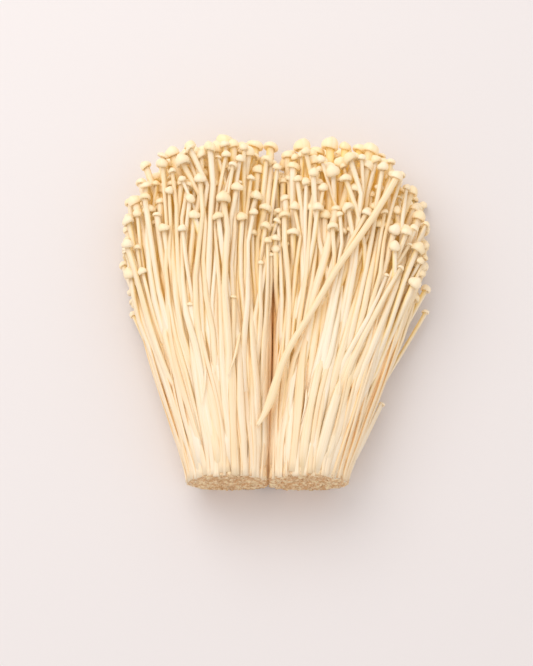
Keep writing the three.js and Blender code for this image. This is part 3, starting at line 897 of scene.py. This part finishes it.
# A cap's outline over its radius, from its underside by the stem round the rim to the top: out, up
CAP_OUTLINE = np.array([
    [0.4, -0.08],
    [0.7, -0.34],
    [0.88, -0.36],
    [0.97, -0.22],
    [1.0, 0.08],
    [0.91, 0.45],
    [0.68, 0.76],
    [0.36, 0.95],
])
CAP_TOP = 1.02
CAP_TILT = 0.32  # the most, sideways over forwards
CAP_WIDE = (0.98, 1.1)  # a cap's radius over the settled one
CAP_TALL = (0.8, 1.1)  # its height over its radius
BUTTONS_FROM = 0.87  # draws above this make a button
BUTTON_TALL = 0.65
CAP_DENTS = (0.05, 0.04)  # shares by which its rim is oval, once and twice round
CAP_SAG = 0.12  # share by which one side hangs lower
CAP_ASIDE = np.array([0.3, 0.1, 1.0])  # a direction that no cap grows in
CAP_LEAD = 3.0  # mm of the stem's end that say where its cap points
CAP_DEPTH_SHADE = 0.25  # share of the painted shade of depth that they get


def add_caps(name, kind, ends, lead, radius, n, depth_shade, replaced):
    """One piece of caps: the outline turned round the end of each stem, squashed, dented and tilted by the
    seeded draws of number n. lead is the direction that each stem arrives in."""
    outline = CAP_OUTLINE[CAP_RINGS[kind]]
    out, up = outline[:, :1], outline[:, 1:]
    angle = angles(CAP_SIDES[kind])[None]
    tilt = np.stack([2 * draws(n, 1) - 1, np.zeros(len(n)), 2 * draws(n, 2) - 1], -1)
    axis = unit(unit(lead) + CAP_TILT * tilt)
    sideways = unit(np.cross(axis, CAP_ASIDE))
    other = np.cross(axis, sideways)
    radius = radius * mix(*CAP_WIDE, draws(n, 3))
    tall = radius * mix(*CAP_TALL, draws(n, 4)) * np.where(draws(n, 5) > BUTTONS_FROM, BUTTON_TALL, 1)
    dented = 1 + CAP_DENTS[0] * np.cos(angle + phase(n, 6))
    dented = dented + CAP_DENTS[1] * np.cos(2 * angle + phase(n, 7))
    sag = 1 + CAP_SAG * np.cos(angle + phase(n, 8))
    wide = out * (dented * radius[:, None])[:, None]
    high = up * (sag * tall[:, None])[:, None]
    rings = (
        ends[:, None, None]
        + sideways[:, None, None] * (wide * np.cos(angle)[:, None])[..., None]
        + other[:, None, None] * (wide * np.sin(angle)[:, None])[..., None]
        + axis[:, None, None] * high[..., None]
    )
    poles = ends[:, None] + axis[:, None] * (np.array([0, CAP_TOP]) * tall[:, None])[..., None]
    values = {
        "tone": draws(n, 9)[:, None],
        "depth_shade": depth_shade[:, None],
        "gap": 0,
        "rooted": 0,
        "across": STREAKS_APART * n[:, None, None] + (out * np.cos(angle))[None],
        "reach": up.T,
    }
    return add_shells(name, rings, poles, "mushroom_flesh", replaced, values)


def add_clump_caps(side, name, kind, n, grown, x, z):
    """Caps of a half, on the ends of its settled lines."""
    last = last_plane(grown)
    y = grown[4][:, None] + np.array([[-CAP_LEAD, 0.0]])
    line = np.stack([along(x, last, y), y, along(z, last, y)], -1)
    n = seeds(CAP_SEEDS, n, side)
    ends = line[:, 1]
    lead = ends - line[:, 0]
    # Painted shade for how deep in the clump each cap lies
    depth_shade = CAP_DEPTH_SHADE * depth_in_clump(side, ends)
    return add_caps(f"{name}_{kind}_caps", kind, ends, lead, grown[6], n, depth_shade, [f"{name}_mushrooms"])


CAP_COLOURS = srgb(255, 238, 210), srgb(252, 224, 172), srgb(255, 228, 162)  # pale, warm, and the amber of the painted shade
CAP_GLOW_FROM = -0.25  # caps are thin, so all of them get a little painted glow
cap_finish = flesh_finish("cap_flesh", *CAP_COLOURS, CAP_GLOW_FROM)
for side, name in HALVES:
    for kind, *mushrooms in main_and_thin(clumps[name]):
        caps = add_clump_caps(side, name, kind, *mushrooms)
        caps.data.materials.append(cap_finish.material)

# The inside of each half, where the stems have grown into one body: ridged lengthwise by the stems in it,
# wide at the root and gone before the caps.
CORE_END = 100  # distance from the cut
CORE_SIZE = {"root": 0.83, "end": 0.1}  # shares of the section
CORE_POWER = 1.1
CORE_MESH = (30, 120)  # rings and sides
CORE_IN_PAD = 1  # how far it reaches into the root
CORE_DEPTH_SHADE = (0.25, 0.85)  # painted shade of depth, from the root to the end
CORE_TONE = 0.5
CORE_STREAKS = (20, 25)  # how far the pattern of streaks goes across and up the section
RIDGES = {"coarse": 15.5, "coarse_by": 0.03, "fine": 37, "fine_by": 0.018}  # waves in a turn, and shares
RIDGE_DRIFT = {"by": 0.35, "length": 23}  # radians by which the ridges wander, and mm over which they do


def ridged(angle, y):
    """A share that ripples round the section like stems side by side, and wanders along it by
    d = by * sin(y / length): 1 + coarse_by * |sin(coarse * a + d)| + fine_by * sin(fine * a - 2 * d)."""
    drift = RIDGE_DRIFT["by"] * np.sin(y / RIDGE_DRIFT["length"])
    coarse = RIDGES["coarse_by"] * np.abs(np.sin(RIDGES["coarse"] * angle + drift))
    return 1 + coarse + RIDGES["fine_by"] * np.sin(RIDGES["fine"] * angle - 2 * drift)


def section_rings(side, share, angle, y, further):
    """Rings of one body whose points lie at these shares of the clump's section at y, and further in +Y."""
    x, z = place(side, share * np.cos(angle), share * np.sin(angle), y)
    return np.stack([x, y + further, z], -1)[None]


def middles(rings):
    """The middles of the first and the last ring, as poles."""
    return rings[:, [0, -1]].mean(2)


def add_core(side, name):
    """One closed body: the clump's section, shrunk towards its end, with ridges."""
    stations, sides = CORE_MESH
    t = np.linspace(0, 1, stations)[:, None]
    angle = angles(sides)[None] * -side
    y = mix(PAD_DEPTH - CORE_IN_PAD, CORE_END, t)
    share = mix(CORE_SIZE["root"], CORE_SIZE["end"], t**CORE_POWER) * ridged(angle, y)
    rings = section_rings(side, share, angle, y, np.zeros(angle.shape))
    values = {
        "tone": CORE_TONE,
        # Painted shade, deeper towards the end
        "depth_shade": mix(*CORE_DEPTH_SHADE, t.T),
        "gap": gap_at(rings),
        "rooted": 1 - t.T,
        "across": (CORE_STREAKS[0] * np.cos(angle) + CORE_STREAKS[1] * np.sin(angle))[None],
        "reach": y.T,
    }
    replaced = [f"{name}_mushrooms"]
    return add_shells(f"{name}_core", rings, middles(rings), "mushroom_flesh", replaced, values)


for side, name in HALVES:
    core = add_core(side, name)
    core.data.materials.append(stem_finish.material)

# Skins: wide flat strips that close each half's outside in its lower part. They are the torn and flattened
# outer stems, grown together edge to edge, and each ends somewhere up the clump between the round stems.
SKIN_SEEDS = 8001
SKIN_COUNT = 62
SKIN_MESH = (22, 8)  # points along each, and sides
SKIN_HALF = (0.6, 1.7)  # half their width at the root
SKIN_WIDEN = 1.25  # times that, halfway up
SKIN_TAPER = 0.3  # times that, at the end
SKIN_UNEVEN = {"by": 0.12, "length": 6}
SKIN_DEPTH = 0.55  # half their thickness
SKIN_THINNER = 0.8  # times that, at the end
SKIN_NEAREST = 2.1  # how close to the seam's middle they come
SKIN_SHADE = 0.6  # painted shade on their inner side
SKIN_END_SHADE = 0.1  # painted shade added towards their end
SKIN_ENDS = (34, 100)  # distance from the cut
SKIN_RAGGED = 2.0  # how unevenly they end at the cut
SKIN_SHIFT = 0.7  # of their spacing round the section, by which they are moved
SKIN_WAVE = {"by": 0.05, "length": 14}  # radians by which they wave, and mm over 2 pi
SKIN_LEAN = 0.1  # radians by which they lean to a side
SKIN_SHARE = {"root": 0.98, "belly": 1.05, "end": 0.84}  # how far out they lie
SKIN_LAYERS = 0.04  # share by which some lie over others
SKIN_BELLY = (12, 34)  # where they lie furthest out, from the cut


def add_skins(side, name):
    """One piece of strips, spaced round the section, each of which follows the clump's outside."""
    stations, sides = SKIN_MESH
    k = np.arange(SKIN_COUNT)
    n = seeds(SKIN_SEEDS, k, side)
    t = np.linspace(0, 1, stations)[None]
    start = SKIN_RAGGED * draws(n, 1) ** 2
    y = mix(start[:, None], mix(*SKIN_ENDS, draws(n, 2))[:, None], t)
    wave = SKIN_WAVE["by"] * np.sin(y / SKIN_WAVE["length"] + phase(n, 4))
    lean = SKIN_LEAN * (draws(n, 5)[:, None] - 0.5) * t
    turn = 2 * pi / SKIN_COUNT * (k + SKIN_SHIFT * draws(n, 3))[:, None] + wave + lean
    belly = smooth(y / mix(*SKIN_BELLY, draws(n, 10))[:, None])
    share = mix(mix(SKIN_SHARE["root"], SKIN_SHARE["belly"], belly), SKIN_SHARE["end"], t**2)
    share = share + SKIN_LAYERS * (draws(n, 6)[:, None] - 0.5)
    x, z = place(side, share * np.cos(turn), share * np.sin(turn), y)
    across = np.maximum(side * (x - seam(y)), SKIN_NEAREST)
    points = np.stack([seam(y) + side * across, y, z], -1)
    towards = np.stack([side * np.cos(turn), np.zeros(turn.shape), np.sin(turn)], -1)
    half = mix(*SKIN_HALF, draws(n, 7))[:, None]
    half = half * mix(1, SKIN_WIDEN, smooth(2 * t)) * mix(1, SKIN_TAPER, t**3)
    half = half * (1 + SKIN_UNEVEN["by"] * np.sin(y / SKIN_UNEVEN["length"] + phase(n, 8)))
    rings = tubes(points, frames(points, towards), half, SKIN_DEPTH * mix(1, SKIN_THINNER, t), sides)
    # Painted shade on each strip's inner side and towards its end
    shade = SKIN_SHADE * inner_side(sides) + SKIN_END_SHADE * t[..., None]
    values = {
        "tone": draws(n, 9)[:, None],
        "across": streak_place(n, half, sides),
        "reach": y,
        "depth_shade": smooth(y / CUT_FADE)[..., None] * shade,
        "gap": gap_at(rings),
        "rooted": 1 - smooth(y / STRIP_END),
    }
    replaced = [f"{name}_mushrooms"]
    return add_shells(f"{name}_skins", rings, points[:, [0, -1]], "mushroom_flesh", replaced, values)


SKIN_COLOURS = srgb(254, 234, 204), srgb(250, 214, 158), srgb(250, 202, 112)  # pale, warm, and the amber of the painted shade
skin_finish = flesh_finish("skin_flesh", *SKIN_COLOURS, STEM_GLOW_FROM)
for side, name in HALVES:
    skins = add_skins(side, name)
    skins.data.materials.append(skin_finish.material)

# The trimmed root of each half: a tan crumbly mass that the mushrooms grew from, inside a ring of fused
# stem skins. It was cut straight across with a knife, and its crumbs stand out and fall away unevenly.
PAD_FACE_RINGS = 26
PAD_MIDDLE = 0.03  # share of the section at which the first ring lies
PAD_SIDES = 180
PAD_SIZE = 0.975  # of the section
PAD_INSET = 0.02
PAD_FURTHER = 0.1  # how far the whole of it is set back from the cut
# The rings behind the face: their shares of the pad, and how far from the cut they are
PAD_BACK = [[1.0, 1.0, 0.99, 0.6, 0.2], [1, PAD_DEPTH / 2, PAD_DEPTH, PAD_DEPTH, PAD_DEPTH]]
RIDGES_POWER = 8  # the ridges show towards the rim alone
RIM_CALM = {"by": 0.6, "power": 12}  # the crumbs are lower at the rim
TAN_DEPTH = 2  # distance from the cut at which the tan ends
CRUMB_HEIGHTS = np.array([0.49, 0.42, 0.315])  # coarse, middle and fine
MOTTLE = {"size": 2.4 * MM, "detail": 4.0}
MOTTLE_RAMP = (5, 2.1)  # slope and start
GRAIN = {"size": 0.9 * MM, "detail": 3.0}
GRAIN_RAMP = (6, 3.4)
PAD_BUMP = {"height": 0.5 * MM, "strength": 0.8}
PAD_ROUGHNESS = 0.8
TAN = srgb(222, 174, 124)
PALE_TAN = srgb(255, 230, 188)
DARK_CRUMB = srgb(182, 124, 68)
PAD_SKIN = srgb(250, 224, 184)
PAD_LIGHT_THROUGH = {"weight": 0.15, "radius": (1.0, 0.75, 0.45), "scale": 0.7 * MM}


def crumbs(x, z):
    """Heights of a crumbly face. The crumbs of each of three sizes are a product of two sines, such as
    sin(2.3 * p) * sin(2.6 * q + 1). p and q are x and z, each bent by a sine of the other."""
    p = x + 0.8 * np.sin(1.3 * z)
    q = z + 0.7 * np.sin(1.7 * x)
    coarse = np.sin(0.8 * p + 0.5 * q) * np.sin(0.9 * q - 0.4 * p)
    middle = np.sin(2.3 * p) * np.sin(2.6 * q + 1)
    fine = np.sin(4.9 * p + 2.1 * q) * np.sin(4.3 * q - 1.7 * p)
    return np.tensordot(CRUMB_HEIGHTS, [coarse, middle, fine], 1)


def add_root_pad(side, name):
    """One closed body: the cut face with crumbs, then its ridged side, then its flat back."""
    size = np.concatenate([np.linspace(PAD_MIDDLE, 1, PAD_FACE_RINGS), PAD_BACK[0]])[:, None]
    y = np.concatenate([np.zeros(PAD_FACE_RINGS), PAD_BACK[1]])[:, None]
    angle = angles(PAD_SIDES)[None] * -side
    share = PAD_SIZE * size * mix(1, ridged(angle, y), size**RIDGES_POWER) - PAD_INSET
    x, z = place(side, share * np.cos(angle), share * np.sin(angle), y)
    height = (y == 0) * (1 - RIM_CALM["by"] * size ** RIM_CALM["power"]) * crumbs(x, z)
    rings = section_rings(side, share, angle, y, PAD_FURTHER + height)
    values = {"cut": 1 - smooth(y.T / TAN_DEPTH)}
    return add_shells(f"{name}_root", rings, middles(rings), "cut_root", [f"{name}_root_pad"], values)


def root_finish():
    """Tan, mottled, with dark crumbs and pale cut stems in it, and quite rough. Cream on its skin."""
    finish = Finish("cut_root")
    mottle = finish.noise(**MOTTLE)
    grain = finish.noise(**GRAIN)
    tan = finish.mix(mottle.ramp(*MOTTLE_RAMP), TAN, PALE_TAN)
    tan = finish.mix(grain.ramp(*GRAIN_RAMP), tan, DARK_CRUMB)
    colour = finish.mix(finish.attribute("cut"), PAD_SKIN, tan)
    bump = finish.bump(grain + mottle, PAD_BUMP["height"], PAD_BUMP["strength"])
    finish.set(Base_Color=colour, Roughness=PAD_ROUGHNESS, Normal=bump)
    finish.set(Subsurface_Weight=PAD_LIGHT_THROUGH["weight"])
    finish.set(Subsurface_Radius=PAD_LIGHT_THROUGH["radius"], Subsurface_Scale=PAD_LIGHT_THROUGH["scale"])
    return finish


pad_finish = root_finish()
for side, name in HALVES:
    pad = add_root_pad(side, name)
    pad.data.materials.append(pad_finish.material)

# The loose mushroom: of the same flesh as the others, and torn off near its root. It lies slantwise over
# both halves, drawn taut over what it crosses. Only its weight and its own moisture hold it.
LOOSE_LINE = np.array([[-4.5, 21.5], [2, 35], [10, 56], [24, 79.5], [38, 101], [54, 127.5]])
LOOSE_MESH = (48, 16)  # points along it, and sides
LOOSE_RADIUS = 1.45
LOOSE_TORN = {"radius": 0.4, "length": 0.25}  # its torn end, whose length is a share of the whole
LOOSE_FLAT = {"by": 1.8, "length": 0.35}  # how much wider it is there
LOOSE_TAPER = (1.05, 0.9)
LOOSE_UNEVEN = {"by": 0.05, "waves": 9}
LOOSE_CAP = 2.6
LOOSE_CAP_POINTS = 4  # how many of its last points lie on what the cap lies on
LOOSE_WAVE = 0.5
LOOSE_WAVES = 5  # half waves from end to end
LOOSE_NUMBER = 7001  # of its seeded draws
LOOSE_TONE = 0.9
LOOSE_DEPTH_SHADE = {"least": 0.08, "below": 0.25}  # painted shade all over, and what its lower side adds as painted shade
TAUT_ROUNDS = 900
REST_GAP = 0.05
UP = np.array([0, 0, 1.0])


def support_at(x, y, radius):
    """How high a rod of this radius has to lie at each x and y to clear every stem and cap below it."""
    height = np.zeros(len(x)) + radius
    for grown, line_x, line_z in clumps.values():
        last = last_plane(grown)
        at = np.minimum(y[None], grown[4][:, None])
        over = y[None] > grown[4][:, None]
        off = np.hypot(x[None] - along(line_x, last, at), np.where(over, y[None] - at, 0))
        reach = np.where(over, grown[6][:, None], stem_at(grown, at)) + radius + REST_GAP
        rise = along(line_z, last, at) + np.sqrt(np.maximum(reach**2 - off**2, 0))
        height = np.maximum(height, np.where(off < reach, rise, 0).max(0))
    return height


def loose_points():
    """The line of the loose mushroom: its plan, raised until it clears what it crosses, and drawn taut."""
    steps = LOOSE_MESH[0]
    legs = len(LOOSE_LINE) - 1
    t = np.linspace(0, 1, steps)
    x, y = along(LOOSE_LINE.T, np.array([legs, legs]), t[None] * legs * PLANE_STEP)
    x = x + LOOSE_WAVE * np.sin(LOOSE_WAVES * pi * t)
    radius = np.where(np.arange(steps) >= steps - LOOSE_CAP_POINTS, LOOSE_CAP, LOOSE_RADIUS)
    support = support_at(x, y, radius)
    line = np.stack([x, y, support], -1)
    for _ in range(TAUT_ROUNDS):
        line[1:-1, 2] = np.maximum(support[1:-1], (line[:-2, 2] + line[2:, 2]) / 2)
    return line


def add_loose_stem(line):
    """Its stem, tapered and flattened where it was torn."""
    stations, sides = LOOSE_MESH
    t = np.linspace(0, 1, stations)[None]
    radius = mix(LOOSE_TORN["radius"], LOOSE_RADIUS, smooth(t / LOOSE_TORN["length"]))
    radius = radius * (mix(*LOOSE_TAPER, t) + LOOSE_UNEVEN["by"] * np.sin(LOOSE_UNEVEN["waves"] * t))
    wide = radius * mix(LOOSE_FLAT["by"], 1, smooth(t / LOOSE_FLAT["length"]))
    rings = tubes(line, frames(line, UP), wide, radius, sides)
    values = {
        "tone": LOOSE_TONE,
        # Painted shade, more on its lower side
        "depth_shade": (LOOSE_DEPTH_SHADE["least"] + LOOSE_DEPTH_SHADE["below"] * inner_side(sides))[None, None],
        "gap": 0,
        "rooted": 0,
        "across": streak_place(np.zeros(1), wide, sides),
        "reach": line[..., 1],
    }
    return add_shells("loose_stem", rings, line[:, [0, -1]], "mushroom_flesh", ["loose_mushroom"], values)


def add_loose_cap(line):
    """Its cap, which points where the end of its stem does."""
    ends = line[:, -1]
    lead = ends - line[:, -3]
    radius = np.array([LOOSE_CAP])
    n = np.array([LOOSE_NUMBER])
    return add_caps("loose_cap", "main", ends, lead, radius, n, np.zeros(1), ["loose_mushroom"])


loose_line = loose_points()[None]
loose_stem = add_loose_stem(loose_line)
loose_stem.data.materials.append(stem_finish.material)
loose_cap = add_loose_cap(loose_line)
loose_cap.data.materials.append(cap_finish.material)

# Slivers: flat threads peeled off the outer stems of each half, which lie slantwise on top of it. They stick
# there by their own moisture. One end is torn to a point, and the other still goes down between the stems.
SLIVERS = {  # x and y of the torn end and of the other, and half the width
    "left": [[-16.7, 41.8, -11.8, 61.5, 0.6], [-27.5, 30, -26.2, 47, 0.45]],
    "right": [[29.6, 45.3, 28.8, 31.5, 0.5], [13.5, 22, 16, 37, 0.45]],
}
SLIVER_MESH = (16, 8)  # points along each, and sides
SLIVER_DEPTH = 0.3  # half the thickness
SLIVER_POINT = {"by": 0.2, "length": 0.6}  # the torn end's width and its length, as shares
SLIVER_BOW = 0.7  # how far its middle lies aside
SLIVER_DIVE = {"by": 2.2, "from": 0.7}  # how far the whole end goes down, from this share of the length on
SLIVER_NUMBER = 9001  # of their seeded draws
SLIVER_SHADE = 0.2  # painted shade on their lower side


def add_slivers(side, name):
    """One piece of slivers, each on the highest of the stems and skins below it."""
    stations, sides = SLIVER_MESH
    torn_x, torn_y, whole_x, whole_y, width = np.array(SLIVERS[name]).T[:, :, None]
    n = SLIVER_NUMBER + np.arange(len(width))
    t = np.linspace(0, 1, stations)[None]
    x = mix(torn_x, whole_x, t) + SLIVER_BOW * np.sin(pi * t)
    y = mix(torn_y, whole_y, t)
    across = (side * (x - seam(y)) - SEAM_GAP / 2) / width_at(y)
    skin_top = height_at(y) * share_of(under_top(across, 1 - SKIN_SHARE["belly"])[1]) + SKIN_DEPTH
    stem_top = np.array([support_at(*line, SLIVER_DEPTH) for line in zip(x, y)])
    dive = SLIVER_DIVE["by"] * smooth((t - SLIVER_DIVE["from"]) / (1 - SLIVER_DIVE["from"]))
    points = np.stack([x, y, np.maximum(skin_top, stem_top) - dive], -1)
    half = width * mix(SLIVER_POINT["by"], 1, smooth(t / SLIVER_POINT["length"]))
    rings = tubes(points, frames(points, UP), half, np.full(half.shape, SLIVER_DEPTH), sides)
    values = {
        "tone": draws(n, 1)[:, None],
        "depth_shade": (SLIVER_SHADE * inner_side(sides))[None, None],
        "gap": 0,
        "rooted": 0,
        "across": streak_place(n, half, sides),
        "reach": y,
    }
    replaced = [f"{name}_mushrooms"]
    return add_shells(f"{name}_slivers", rings, points[:, [0, -1]], "mushroom_flesh", replaced, values)


for side, name in HALVES:
    slivers = add_slivers(side, name)
    slivers.data.materials.append(stem_finish.material)
